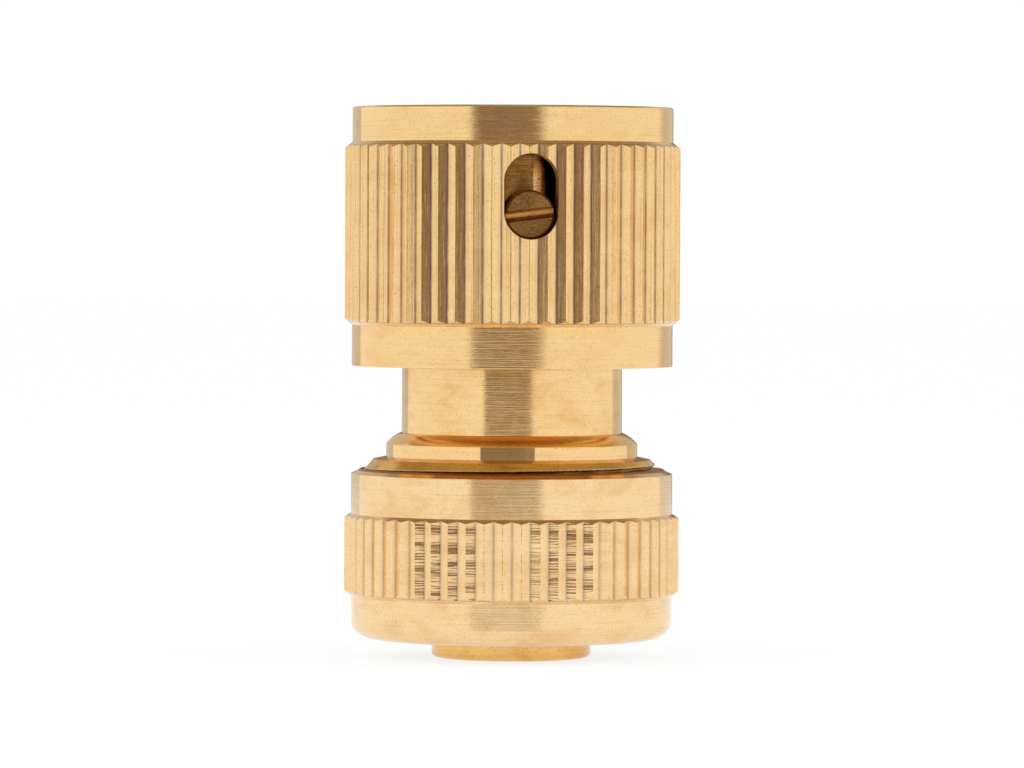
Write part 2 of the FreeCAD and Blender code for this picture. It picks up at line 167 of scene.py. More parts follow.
# straight knurl, the same teeth on the collar and the nut
knurl = {
    "teeth": 57,
    "crestRadius": 15.0,
    "valleyRadius": 14.675,
    "crestFlat": 0.015,     # half of the flat's width, as a share of a tooth
    "valleyFlat": 0.008,
}
knurlSteps = 4 * knurl["teeth"]     # four columns of corners to a tooth


# materials, procedural on Object coordinates
def nodeTree(name):
    material = bpy.data.materials.new(name)
    material.use_nodes = True
    tree = material.node_tree
    return material, tree, tree.nodes["Principled BSDF"]


def stretchedNoise(tree, scale, detail=2.0, rough=0.5, warp=0.0):  # noise on Object coordinates, per metre
    place = tree.nodes.new("ShaderNodeTexCoord")
    mapping = tree.nodes.new("ShaderNodeMapping")
    mapping.inputs["Scale"].default_value = scale
    tree.links.new(place.outputs["Object"], mapping.inputs["Vector"])
    texture = tree.nodes.new("ShaderNodeTexNoise")
    for socket, number in zip(("Scale", "Detail", "Roughness", "Distortion"), (1.0, detail, rough, warp)):
        texture.inputs[socket].default_value = number
    tree.links.new(mapping.outputs["Vector"], texture.inputs["Vector"])
    return texture.outputs["Fac"]


def spread(tree, value, low, high, start=0.0, end=1.0):  # a smooth step from low to high
    step = tree.nodes.new("ShaderNodeMapRange")
    step.interpolation_type = "SMOOTHSTEP"
    for socket, number in zip(("From Min", "From Max", "To Min", "To Max"), (low, high, start, end)):
        step.inputs[socket].default_value = number
    tree.links.new(value, step.inputs["Value"])
    return step.outputs["Result"]


def calc(tree, operation, first, second=0.0):
    node = tree.nodes.new("ShaderNodeMath")
    node.operation = operation
    for socket, value in zip(node.inputs, (first, second)):
        if isinstance(value, (int, float)):
            socket.default_value = value
        else:
            tree.links.new(value, socket)
    return node.outputs["Value"]


def blendColour(tree, factor, first, second):
    node = tree.nodes.new("ShaderNodeMix")
    node.data_type = "RGBA"
    for socket, value in zip((node.inputs[0], node.inputs[6], node.inputs[7]), (factor, first, second)):
        if isinstance(value, (int, float)):
            socket.default_value = value
        elif isinstance(value, tuple):
            socket.default_value = (*value, 1.0)
        else:
            tree.links.new(value, socket)
    return node.outputs[2]


def addBump(tree, height, distance, before=None):
    bump = tree.nodes.new("ShaderNodeBump")
    bump.inputs["Strength"].default_value = 1.0
    bump.inputs["Distance"].default_value = distance * mm
    tree.links.new(height, bump.inputs["Height"])
    if before:
        tree.links.new(before, bump.inputs["Normal"])
    return bump.outputs["Normal"]


def voronoiSpots(tree, scale, size):  # small round spots of mixed sizes, 1 inside a spot
    rarity = 3.0    # higher leaves fewer large ones
    place = tree.nodes.new("ShaderNodeTexCoord")
    cells = tree.nodes.new("ShaderNodeTexVoronoi")
    cells.inputs["Scale"].default_value = scale
    tree.links.new(place.outputs["Object"], cells.inputs["Vector"])
    apart = tree.nodes.new("ShaderNodeSeparateColor")
    tree.links.new(cells.outputs["Color"], apart.inputs["Color"])
    chance = calc(tree, "POWER", apart.outputs["Red"], rarity)
    reach = calc(tree, "MULTIPLY", chance, size)
    inside = calc(tree, "SUBTRACT", reach, cells.outputs["Distance"])
    return spread(tree, inside, 0.0, 0.08)


brassFinish = {
    "colour": (0.95, 0.645, 0.297),
    "oldColour": (0.44, 0.205, 0.055),
    "stainColour": (0.78, 0.41, 0.12),
    "spotColour": (0.36, 0.12, 0.014),
    "grimeColour": (0.24, 0.115, 0.03),
    "flankTintColour": (0.76, 0.545, 0.31),
    "roughness": 0.145,
    "anisotropic": 0.85,
    "lines": 0.0,           # height of the tool marks round the axis, in mm
    "upright": 0.0,         # height of the drawn marks along the axis
    "tone": 0.2,            # how much the marks darken
    "dull": 0.0,            # how much rougher a scuffed mark is
    "grain": 0.0,           # height of a fine pitting
    "grainScale": 5200.0,   # scales are per metre
    "ripple": 0.0,          # height of the chatter marks on a knurl
    "stain": 0.3,
    # the least darkening; inside the long hole it is painted shade
    "leastStain": 0.0,
    "stainScale": 260.0,
    "wiped": None,          # painted highlight strip: stains stop between two places along X and below a height, in mm
    "dust": 0.34,
    "dustScale": 5600.0,
    "spots": 0.15,
    "spotScale": 2600.0,
    "pitDepth": 0.002,
    "grime": 0.0,           # dark line in the knurl's valleys
    "grimeReach": (0.008, 0.06),    # above the valley's floor, in mm
    "flankTint": 0.8,         # browner beside that line
    "flankTintReach": (0.02, 0.16),
}
markScales = {              # along X, Y and Z, of the marks and of the scuffs among them
    "lines": ((90, 90, 9500), (330, 330, 6200)),
    "upright": ((7600, 7600, 60), (8200, 8200, 230)),
}
chatterMarks = {            # scales and weights of the two patterns
    "blocks": {"scale": (170, 170, 1350), "detail": 0.0, "weight": 1.9},
    "rows": {"scale": (420, 420, 6400), "detail": 1.0, "weight": 0.55},
}


def objectAxis(tree, axis):
    place = tree.nodes.new("ShaderNodeTexCoord")
    parts = tree.nodes.new("ShaderNodeSeparateXYZ")
    tree.links.new(place.outputs["Object"], parts.inputs["Vector"])
    return parts.outputs[axis]


def paintedLitStrip(tree, stainAndShade, wiped):  # painted highlight inside painted shade: fewer stains on an upright strip
    start, end, height = wiped
    across = objectAxis(tree, "X")
    litShare = calc(tree, "MULTIPLY", spread(tree, across, (start - 0.1) * mm, start * mm),
                 spread(tree, across, end * mm, (end + 0.2) * mm, 1.0, 0.0))
    below = spread(tree, objectAxis(tree, "Z"), (height - 0.7) * mm, (height + 0.3) * mm, 1.0, 0.25)
    litShare = calc(tree, "MULTIPLY", litShare, below)
    return calc(tree, "MULTIPLY", stainAndShade, calc(tree, "SUBTRACT", 1.0, litShare))


def tintValleys(tree, look, cloud, colour):  # browner flanks and a dark line between the knurl's teeth
    across = objectAxis(tree, "X")
    along = objectAxis(tree, "Y")
    radius = calc(tree, "SQRT", calc(tree, "ADD", calc(tree, "MULTIPLY", across, across),
                                     calc(tree, "MULTIPLY", along, along)))
    deepest = knurl["valleyRadius"]
    toothed = spread(tree, radius, (deepest - 0.03) * mm, (deepest - 0.01) * mm)
    near, far = look["flankTintReach"]
    flank = spread(tree, radius, (deepest + near) * mm, (deepest + far) * mm, look["flankTint"], 0.0)
    colour = blendColour(tree, calc(tree, "MULTIPLY", flank, toothed), colour, look["flankTintColour"])
    near, far = look["grimeReach"]
    valley = spread(tree, radius, (deepest + near) * mm, (deepest + far) * mm, 1.0, 0.0)
    patchy = spread(tree, cloud, 0.25, 0.6, 0.4, 1.0)
    darkened = calc(tree, "MULTIPLY", calc(tree, "MULTIPLY", valley, toothed), patchy)
    return blendColour(tree, calc(tree, "MULTIPLY", darkened, look["grime"]), colour, look["grimeColour"])


def brass(name, **changes):
    look = {**brassFinish, **changes}
    material, tree, shader = nodeTree(name)
    shader.inputs["Metallic"].default_value = 1.0
    shader.inputs["Anisotropic Rotation"].default_value = 0.25
    tangent = tree.nodes.new("ShaderNodeTangent")
    tangent.direction_type = "RADIAL"
    tangent.axis = "Z"
    tree.links.new(tangent.outputs["Tangent"], shader.inputs["Tangent"])

    stainScale = look["stainScale"]
    cloud = stretchedNoise(tree, (stainScale, stainScale, stainScale * 1.6), 4.0, 0.6, warp=0.4)
    stainAndShade = spread(tree, cloud, 0.42, 0.70, look["leastStain"], look["stain"])
    if look["wiped"]:
        stainAndShade = paintedLitStrip(tree, stainAndShade, look["wiped"])
    mixed = blendColour(tree, stainAndShade, look["colour"], look["stainColour"])
    fine = stretchedNoise(tree, (look["dustScale"],) * 3, 3.0, 0.7)
    dusty = calc(tree, "MULTIPLY", spread(tree, fine, 0.52, 0.70), look["dust"])
    mixed = blendColour(tree, dusty, mixed, look["oldColour"])

    normal = None
    roughness = spread(tree, cloud, 0.3, 0.8, look["roughness"] * 0.9, look["roughness"] * 1.25)
    directed = look["anisotropic"]
    for kind, (markScale, scuffScale) in markScales.items():
        if look[kind]:
            marks = stretchedNoise(tree, markScale, 3.0, 0.75)
            normal = addBump(tree, marks, look[kind], normal)
            darker = calc(tree, "MULTIPLY", spread(tree, marks, 0.5, 0.7), look["tone"])
            mixed = blendColour(tree, darker, mixed, look["oldColour"])
            if look["dull"]:
                scuffed = spread(tree, stretchedNoise(tree, scuffScale, 3.0, 0.7), 0.55, 0.64)
                roughness = calc(tree, "ADD", roughness, calc(tree, "MULTIPLY", scuffed, look["dull"]))
                directed = calc(tree, "MULTIPLY", calc(tree, "SUBTRACT", 1.0, scuffed), directed)
    if look["ripple"]:
        weighed = []
        for mark in chatterMarks.values():
            pattern = stretchedNoise(tree, mark["scale"], mark["detail"])
            weighed.append(calc(tree, "MULTIPLY", pattern, mark["weight"]))
        normal = addBump(tree, calc(tree, "ADD", *weighed), look["ripple"], normal)
    if look["grain"]:
        pitted = stretchedNoise(tree, (look["grainScale"],) * 3, 2.0, 0.6)
        normal = addBump(tree, pitted, look["grain"], normal)
    if look["grime"]:
        mixed = tintValleys(tree, look, cloud, mixed)
    pits = voronoiSpots(tree, look["spotScale"], look["spots"])
    mixed = blendColour(tree, calc(tree, "MULTIPLY", pits, 0.8), mixed, look["spotColour"])
    normal = addBump(tree, calc(tree, "SUBTRACT", 1.0, pits), look["pitDepth"], normal)
    if isinstance(directed, float):
        shader.inputs["Anisotropic"].default_value = directed
    else:
        tree.links.new(directed, shader.inputs["Anisotropic"])
    tree.links.new(mixed, shader.inputs["Base Color"])
    tree.links.new(normal, shader.inputs["Normal"])
    tree.links.new(roughness, shader.inputs["Roughness"])
    return material


def plainFinish(name, colour, roughness, metallic=0.0, grain=0.002):
    material, tree, shader = nodeTree(name)
    shader.inputs["Metallic"].default_value = metallic
    shade = 0.82    # of the colour, in the darker patches
    cloud = stretchedNoise(tree, (300, 300, 300), detail=4.0, rough=0.6)
    darker = tuple(part * shade for part in colour)
    tree.links.new(blendColour(tree, spread(tree, cloud, 0.35, 0.75), colour, darker),
                   shader.inputs["Base Color"])
    tree.links.new(spread(tree, cloud, 0.3, 0.8, roughness * 0.85, roughness * 1.15),
                   shader.inputs["Roughness"])
    fine = stretchedNoise(tree, (2500, 2500, 2500), detail=3.0, rough=0.6)
    tree.links.new(addBump(tree, fine, grain), shader.inputs["Normal"])
    return material


brassBand = brass("brassTurned", lines=0.011, tone=0.2, stain=0.25, roughness=0.105)
brassNeck = brass("brassNeck", lines=0.008, roughness=0.085, stain=0.6, tone=0.2)
brassRing = brass("brassRing", lines=0.001, roughness=0.05, tone=0.3, spots=0.2)
# more orange ring top: painted reflection of the brass round it
brassRound = brass("brassRound", lines=0.004, colour=(0.90, 0.54, 0.17), roughness=0.2, anisotropic=0.3)
# darker, more orange ledge: painted reflection of the brass round it, with real stains
brassLedge = brass("brassLedge", lines=0.014, colour=(0.88, 0.48, 0.08), stainColour=(0.58, 0.24, 0.02),
                   roughness=0.27, anisotropic=0.3, stain=0.75, tone=0.45, dust=0.5, spots=0.22)
brassThread = brass("brassThread", lines=0.008, colour=(0.86, 0.50, 0.15), roughness=0.3, anisotropic=0.3)
# dark brown: painted shadow of the narrow gap between the nut's top and the thread
brassGapShade = brass("brassGapShade", lines=0.008, colour=(0.30, 0.115, 0.02), roughness=0.4, anisotropic=0.3)
# pale colour: painted highlight on the burr's ragged fringe
brassBurr = brass("brassBurr", colour=(0.99, 0.80, 0.52), roughness=0.5, anisotropic=0.0)
# more orange tail: painted reflection of the floor shaded under the nut, with real stains and dust
brassTail = brass("brassTail", lines=0.01, colour=(0.92, 0.56, 0.18), stain=0.7, dust=0.6)
brassKnurl = brass("brassKnurl", upright=0.009, ripple=0.005, tone=0.65, dull=0.16, roughness=0.15,
                   anisotropic=0.4, dust=0.5, spots=0.2, grime=0.75)
brassNut = brass("brassNut", lines=0.006, colour=(0.94, 0.675, 0.36), roughness=0.14, stain=0.4)
# orange top chamfer of the nut: painted reflection of the brass above it, with stains
brassNutEdge = brass("brassNutEdge", lines=0.006, colour=(0.80, 0.43, 0.11), roughness=0.16, stain=0.6)
brassNutKnurl = brass("brassNutKnurl", upright=0.002, ripple=0.046, colour=(0.94, 0.66, 0.34), roughness=0.14,
                      anisotropic=0.4, dust=0.4, grime=0.4)
# brass behind the long hole: painted shade, dark stains all over, and a painted highlight strip below the
# hole's upper edge
brassSlotShade = brass("brassSlotShade", lines=0.018, stainColour=(0.32, 0.14, 0.012), stain=1.0, leastStain=0.70,
                    oldColour=(0.12, 0.05, 0.008), tone=0.6, stainScale=620.0, wiped=(0.70, 1.25, 43.6),
                    dust=0.6, spots=0.3)
brassSlotWall = brass("brassSlotWall", colour=(0.80, 0.46, 0.16), roughness=0.32, anisotropic=0.0, stain=0.6)
brassScrew = brass("brassScrewFace", colour=(0.29, 0.158, 0.052), roughness=0.3, anisotropic=0.0, dust=0.95,
                   oldColour=(0.05, 0.022, 0.006), grain=0.045)
# dark brown on the screw head's edge and sides: painted shade of the gap round the head
brassScrewEdgeShade = brass("brassScrewEdgeShade", colour=(0.30, 0.13, 0.035), roughness=0.4, anisotropic=0.0)
# the groove in lit and shaded copies: the lighter orange is painted light bounced inside it
brassGrooveLit = brass("brassScrewGrooveLit", colour=(0.68, 0.35, 0.10), roughness=0.5, anisotropic=0.0, dust=0.8,
                    oldColour=(0.26, 0.11, 0.02))
# the side that faces upwards: painted shade
brassGrooveShade = brass("brassGrooveShade", colour=(0.24, 0.105, 0.025), roughness=0.5, anisotropic=0.0,
                       oldColour=(0.08, 0.035, 0.008), dust=0.9)
steelWire = plainFinish("springSteel", (0.50, 0.49, 0.47), 0.28, metallic=1.0)
steelBall = plainFinish("ballSteel", (0.66, 0.66, 0.66), 0.08, metallic=1.0, grain=0.0004)
rubber = plainFinish("sealRubber", (0.022, 0.022, 0.024), 0.55, grain=0.004)
acetal = plainFinish("acetal", (0.05, 0.055, 0.06), 0.42, grain=0.003)
print("materials made")


def cutTeeth(bm, bandRadius, valleyAngle):
    # Four columns a tooth: both edges of the valley and of the crest. They stay even on the bands.
    # A corner of the knurl slides down its chamfer to the radius of its column.
    pitch = 360 / knurl["teeth"]
    onRadius = 0.004 * mm   # how close a corner is to the band's radius to lie on it
    sameHeight = 1e-6       # how close two heights are to be the same, in metres
    places = (-knurl["valleyFlat"], knurl["valleyFlat"], 0.5 - knurl["crestFlat"], 0.5 + knurl["crestFlat"])
    radii = (knurl["valleyRadius"],) * 2 + (knurl["crestRadius"],) * 2
    chamferTop = sorted({round(v.co.z, 7) for v in bm.verts if v.co.xy.length > (bandRadius + margin) * mm})
    onBand = [v for v in bm.verts if abs(v.co.xy.length - bandRadius * mm) < onRadius]
    bandEdge = sorted({round(v.co.z, 7) for v in onBand})
    lowTop, highTop = chamferTop[0], chamferTop[-1]
    lowEdge = max(z for z in bandEdge if z < lowTop)
    highEdge = min(z for z in bandEdge if z > highTop)
    for v in bm.verts:
        column = round(math.degrees(math.atan2(v.co.y, v.co.x)) / (pitch / 4)) % knurlSteps
        angle = valleyAngle + pitch * (column - 0.5) / 4
        radius, height = v.co.xy.length / mm, v.co.z
        if radius > bandRadius + margin:
            angle = valleyAngle + pitch * (column // 4 + places[column % 4])
            kept = (radii[column % 4] - bandRadius) / (knurl["crestRadius"] - bandRadius)
            if abs(height - lowTop) < sameHeight:
                height = lowEdge + (lowTop - lowEdge) * kept
            elif abs(height - highTop) < sameHeight:
                height = highEdge + (highTop - highEdge) * kept
            radius = radii[column % 4]
        v.co = front(radius, angle, height / mm)


# release collar, with the long hole for the guide screw
collar = {
    "bandRadius": 14.35,
    "boreRadius": 12.55,
    "upperBand": 3.12,
    "lowerBand": 3.67,
    "chamfer": 0.55,
    "rim": 0.15,
    "landRadius": 10.48,
    "landLow": 8.88,        # above the foot
    "landHigh": 9.68,
    "rampLowRadius": 10.93,
    "rampTop": 16.02,
    "slotWidth": 4.8,
    "slotLow": 11.34,
    "slotHigh": 18.90,
    "slotSegments": 64,
    "cutterReach": 9.0,     # the slot's cutter starts this far out and is as long
    "cornerRound": 0.05,
    "valleyAngle": 2.4,
}
foot, top = lowHigh("release_collar")
c = collar
profile = profileLoop([
    (c["boreRadius"], foot), (c["bandRadius"], foot), (c["bandRadius"], foot + c["lowerBand"]),
    (knurl["crestRadius"], foot + c["lowerBand"] + c["chamfer"]),
    (knurl["crestRadius"], top - c["upperBand"] - c["chamfer"]),
    (c["bandRadius"], top - c["upperBand"]), (c["bandRadius"], top - c["rim"]),
    (c["bandRadius"] - c["rim"], top), (c["boreRadius"] + c["rim"], top),
    (c["boreRadius"], top - c["rim"]), (c["boreRadius"], foot + c["rampTop"]),
    (c["rampLowRadius"], foot + c["landHigh"]), (c["landRadius"], foot + c["landHigh"]),
    (c["landRadius"], foot + c["landLow"]), (c["boreRadius"], foot + c["landLow"]),
])
softenCorners(profile, c["cornerRound"], keep=lambda v: foot + 1 < v.co.z / mm < top - 1)
turn(profile, knurlSteps)
cutTeeth(profile, c["bandRadius"], c["valleyAngle"])
slotCut = bmesh.new()
upright = (Matrix.Rotation(math.radians(90), 4, "X")
           @ Matrix.Rotation(math.pi / c["slotSegments"], 4, "Z"))
bmesh.ops.create_circle(slotCut, cap_ends=True, segments=c["slotSegments"],
                        radius=c["slotWidth"] / 2 * mm, matrix=upright)
slotStraight = c["slotHigh"] - c["slotLow"] - c["slotWidth"]
for v in slotCut.verts:
    v.co.z += (slotStraight if v.co.z > 0 else 0) * mm
    v.co += Vector((0, -c["cutterReach"] * mm, (foot + c["slotLow"] + c["slotWidth"] / 2) * mm))
grown = bmesh.ops.extrude_face_region(slotCut, geom=slotCut.faces[:])
farEnd = [v for v in grown["geom"] if isinstance(v, bmesh.types.BMVert)]
bmesh.ops.translate(slotCut, vec=(0, -c["cutterReach"] * mm, 0), verts=farEnd)
profile = cutAway(profile, slotCut)
finishPiece("releaseCollar", profile, brassBand, "collar", "release_collar", sharpAngle=20,
            patches=((brassKnurl, lambda radius, z, middle: radius > c["bandRadius"] + margin),
                     (brassSlotWall, lambda radius, z, middle: middle.y < 0
                      and c["boreRadius"] + 0.05 < radius < c["bandRadius"] - 0.05
                      and abs(middle.x) < c["slotWidth"] / 2 + 0.05
                      and c["slotLow"] - margin < z - foot < c["slotHigh"] + margin)))
print("release collar made")


# socket body: flange, sleeve with the ball holes, neck, valve chamber
socket = {
    "neckRadius": 9.85,
    "sleeveRadius": 10.4,
    "sleeveFoot": 27.98,
    "flangeRadius": 12.47,
    "flangeHeight": 3.6,
    "flangeEdge": 0.15,
    "grooveRadius": 9.35,
    "grooveLow": 26.30,
    "grooveHigh": 26.98,
    "mouthRadius": 8.95,
    "mouthChamfer": 0.8,
    "mouthFoot": 34.0,
    "sealRadius": 8.0,
    "sealHigh": 33.05,
    "sealLow": 28.95,
    "noseRadius": 7.2,
    "webHigh": 24.45,
    "webLow": 22.95,
    "seatRadius": 5.6,
    "seatCone": 1.4,
    "chamberRadius": 7.9,
    "ballRadius": 1.5875,
    "ballAngle": 45,
    "ballSeat": 9.7375,
    "ballHole": 1.6375,
    "ballHoleLength": 3.0,
    "ballHeight": 37.5,
    "spotRadius": 2.245,
    "spotDepth": 0.25,
    "screwHole": 1.28,
    "screwHeight": 39.62,
    "drillPast": 1.0,       # how far a drill runs past the wall
    "cornerRound": 0.06,
    "steps": 192,           # round the axis
}
c = socket
foot, top = lowHigh("socket_body")
profile = profileLoop([
    (c["chamberRadius"], foot), (c["neckRadius"], foot), (c["neckRadius"], c["grooveLow"]),
    (c["grooveRadius"], c["grooveLow"]), (c["grooveRadius"], c["grooveHigh"]),
    (c["neckRadius"], c["grooveHigh"]), (c["neckRadius"], c["sleeveFoot"]),
    (c["sleeveRadius"], c["sleeveFoot"]), (c["sleeveRadius"], top - c["flangeHeight"]),
    (c["flangeRadius"], top - c["flangeHeight"]), (c["flangeRadius"], top - c["flangeEdge"]),
    (c["flangeRadius"] - c["flangeEdge"], top), (c["mouthRadius"] + c["mouthChamfer"], top),
    (c["mouthRadius"], top - c["mouthChamfer"]), (c["mouthRadius"], c["mouthFoot"]),
    (c["sealRadius"], c["sealHigh"]), (c["sealRadius"], c["sealLow"]), (c["noseRadius"], c["sealLow"]),
    (c["noseRadius"], c["webHigh"]), (c["seatRadius"], c["webHigh"]), (c["seatRadius"], c["webLow"]),
    (c["seatRadius"] + c["seatCone"], c["webLow"] - c["seatCone"]),
    (c["chamberRadius"], c["webLow"] - c["seatCone"]),
])
softenCorners(profile, c["cornerRound"])
turn(profile, c["steps"])
holes = bmesh.new()
for quarter in range(4):
    angle = c["ballAngle"] + 90 * quarter
    seat = front(c["ballSeat"], angle, c["ballHeight"])
    outward = front(1, angle, 0).normalized()
    ball = bmesh.ops.create_uvsphere(holes, u_segments=32, v_segments=15, radius=c["ballHole"] * mm,
                                     matrix=outward.to_track_quat("Z", "Y").to_matrix().to_4x4())
    for v in ball["verts"]:
        v.co += seat + (outward * c["ballHoleLength"] * mm if v.co.dot(outward) > 0 else Vector())
outside = front(c["sleeveRadius"] + c["drillPast"], 0, c["screwHeight"])
drill(holes, c["spotRadius"], front(c["sleeveRadius"] - c["spotDepth"], 0, c["screwHeight"]), outside)
profile = cutAway(profile, holes)
screwHole = bmesh.new()
inside = front(c["mouthRadius"] - c["drillPast"], 0, c["screwHeight"])
drill(screwHole, c["screwHole"], inside, outside, segments=32)
profile = cutAway(profile, screwHole)
# the sleeve behind the long hole gets the painted shade
finishPiece("socketBody", profile, brassNeck, "root", "socket_body",
            patches=((brassSlotShade, lambda radius, z, middle: radius > c["neckRadius"] + 0.15
                      and c["sleeveFoot"] + 2 < z < top - c["flangeHeight"]),))
print("socket body made")


# tail body, with the nut's thread on it
tail = {
    "waterwayRadius": 5.0,
    "endRadius": 6.53,
    "tailRadius": 7.13,
    "endRound": 0.5,
    "rootRadius": 6.6,
    "barbs": 3,
    "barbLow": 2.3,
    "barbPitch": 2.1,
    "face": 9.3,
    "threadRadius": 13.45,
    "threadEndChamfer": 0.7,
    "threadPitch": 1.5,
    "threadDepth": 0.8,
    "threadRow": 0.0625,
    "threadTurn": 0.769,    # where the groove stands, in turns from the front
    "threadCrest": 0.06,    # half of the crest's width, as a share of the pitch
    "threadFlank": 0.38,    # a flank's, likewise
    "threadRunOut": 0.2,    # no rows of thread on the lowest part
    "burrSteps": 720,
    "burrSize": 0.14,
    "burrGrain": 70.0,      # higher is finer
    "burrOut": 0.3,         # how far it stands off the shoulder, as a share of its size
    "burrLowest": 16.75,
    "noBurr": 0.004,        # its size where the groove has left the shoulder
    # lowest point of the painted shadow in the thread's groove
    "gapShadeFoot": 16.0,
    "shoulderTop": 17.75,
    "shoulderRadius": 12.41,
    "shoulderHeight": 1.25,
    "ledge": 18.0,
    "ringRadius": 11.24,
    "ringEdge": 19.13,
    "ringLipRadius": 10.0,
    "ringBulge": 0.1,
    "ringNormal": (0.62, 0.79),     # outwards and up
    "ringSteps": 8,
    "cupRadius": 9.9,
    "cupFloor": 13.2,
    "pocketRadius": 7.4,
    "pocketFloor": 10.8,
    "steps": 240,           # round the axis
}
c = tail
ringTop = lowHigh("tail_body")[1]
rows = int((c["shoulderTop"] - c["face"] - c["threadRunOut"]) / c["threadRow"])
ringRound = []  # the ring's sloping top, with a bulge that is highest in the middle
for step in range(c["ringSteps"] + 1):
    share = step / c["ringSteps"]
    outwards, up = [c["ringBulge"] * 4 * share * (1 - share) * part for part in c["ringNormal"]]
    ringRound.append((c["ringRadius"] + (c["ringLipRadius"] - c["ringRadius"]) * share + outwards,
                      c["ringEdge"] + (ringTop - c["ringEdge"]) * share + up))
profile = profileLoop([
    (c["waterwayRadius"], 0), (c["endRadius"], 0),
    *arcPoints((c["endRadius"], c["endRound"]), (c["tailRadius"] - c["endRadius"], c["endRound"]), -60, 0, 5),
    *[(c[edge], c["barbLow"] + barb * c["barbPitch"])
      for barb in range(c["barbs"]) for edge in ("tailRadius", "rootRadius")],
    (c["rootRadius"], c["face"]), (c["threadRadius"] - c["threadEndChamfer"], c["face"]),
    *[(c["threadRadius"], c["shoulderTop"] - (rows - row) * c["threadRow"]) for row in range(rows)],
    (c["shoulderRadius"], c["shoulderTop"]), (c["ringRadius"], c["ledge"]), *ringRound,
    (c["cupRadius"], ringTop), (c["cupRadius"], c["cupFloor"]), (c["pocketRadius"], c["cupFloor"]),
    (c["pocketRadius"], c["pocketFloor"]), (c["waterwayRadius"], c["pocketFloor"]),
])
turn(profile, c["steps"])


def shoulderAt(height):  # the slope from the ledge down to the thread's crests
    slope = (tail["threadRadius"] - tail["shoulderRadius"]) / tail["shoulderHeight"]
    return tail["shoulderRadius"] + (tail["shoulderTop"] - height) * slope


def threadAt(turns, height):
    along = (height / tail["threadPitch"] - turns + tail["threadTurn"]) % 1.0   # 0 at a root, 0.5 at a crest
    flank = min(1.0, max(0.0, (abs(along - 0.5) - tail["threadCrest"]) / tail["threadFlank"]))
    return tail["threadRadius"] - tail["threadDepth"] * flank


for v in profile.verts:
    radius, height = v.co.xy.length / mm, v.co.z / mm
    if abs(radius - c["threadRadius"]) < 0.01:
        turns = math.atan2(v.co.x, -v.co.y) / (2 * math.pi)
        endRadius = c["threadRadius"] - c["threadEndChamfer"] + height - c["face"]
        v.co.xy = v.co.xy.normalized() * min(threadAt(turns, height), shoulderAt(height), endRadius) * mm

# the tool leaves a ragged burr where the thread's groove cuts the shoulder
rings = []
for step in range(c["burrSteps"]):
    turns = step / c["burrSteps"]
    height = c["shoulderTop"] - margin
    while height > c["burrLowest"] and threadAt(turns, height) > shoulderAt(height) - hair:
        height -= 0.01  # down the shoulder until the groove cuts it
    ragged = 0.5 + 0.5 * noise.noise(front(c["burrGrain"] / mm, 360 * turns, 0))
    size = c["burrSize"] * ragged if height > c["burrLowest"] else c["noBurr"]
    middle = shoulderAt(height) + c["burrOut"] * size
    corners = ((size, 0), (0, size), (-size, 0), (0, -size))
    rings.append([profile.verts.new(front(middle + out, 360 * turns, height + up)) for out, up in corners])
for here, after in zip(rings, rings[1:] + rings[:1]):
    for side in range(4):
        profile.faces.new((here[side], here[side - 1], after[side - 1], after[side]))
finishPiece("tailBody", profile, brassRing, "root", "tail_body",
            patches=((brassRound, lambda radius, z, middle: z > c["ringEdge"]
                      and radius > c["cupRadius"] + hair),
                     (brassLedge, lambda radius, z, middle: radius > c["ringRadius"] + hair),
                     (brassThread, lambda radius, z, middle: radius > c["ringRadius"] + hair
                      and z < c["shoulderTop"] and radius < shoulderAt(z) - 0.03),
                     # painted shadow in the thread's groove just above the nut
                     (brassGapShade, lambda radius, z, middle: c["gapShadeFoot"] < z < c["shoulderTop"]
                      and c["ringRadius"] < radius < shoulderAt(z) - 0.03),
                     (brassBurr, lambda radius, z, middle: radius > shoulderAt(z) + 0.006
                      and c["burrLowest"] - margin < z < c["shoulderTop"] - margin / 2),
                     (brassTail, lambda radius, z, middle: z < c["face"])))
print("tail body made")


# hose nut
nut = {
    "bandRadius": 14.385,
    "cornerHeight": 1.5,
    "cornerWidth": 2.1,
    "lowerBand": 3.79,
    "knurlLength": 7.41,
    "lowerChamfer": 0.55,
    "upperChamfer": 0.38,
    "topChamferWidth": 0.6,
    "topChamferHeight": 0.45,
    "leadInHeight": 0.17,
    "topFlat": 0.06,
    "boreRadius": 13.5,
    "openingRadius": 9.75,
    "lip": 1.6,
    "coneLowRadius": 10.1,
    "coneHighRadius": 12.05,
    "coneLow": 3.85,
    "coneHigh": 8.35,
    "cornerRound": 0.05,
    "valleyAngle": -6.15,
}
c = nut
foot, top = lowHigh("hose_nut")
knurlLow = foot + c["lowerBand"]
knurlHigh = knurlLow + c["knurlLength"]
profile = profileLoop([
    (c["openingRadius"], foot),
    *arcPoints((c["bandRadius"] - c["cornerWidth"], foot + c["cornerHeight"]),
               (c["cornerWidth"], c["cornerHeight"]), -90, 0, 14),
    (c["bandRadius"], knurlLow), (knurl["crestRadius"], knurlLow + c["lowerChamfer"]),
    (knurl["crestRadius"], knurlHigh - c["upperChamfer"]), (c["bandRadius"], knurlHigh),
    (c["bandRadius"], top - c["topChamferHeight"]),
    (c["bandRadius"] - c["topChamferWidth"], top - c["leadInHeight"]),
    (c["boreRadius"] + c["topFlat"], top), (c["boreRadius"], top), (c["boreRadius"], c["coneHigh"]),
    (c["coneHighRadius"], c["coneHigh"]),
    (c["coneLowRadius"], c["coneLow"]), (c["coneLowRadius"], foot + c["lip"]),
    (c["openingRadius"], foot + c["lip"]),
])
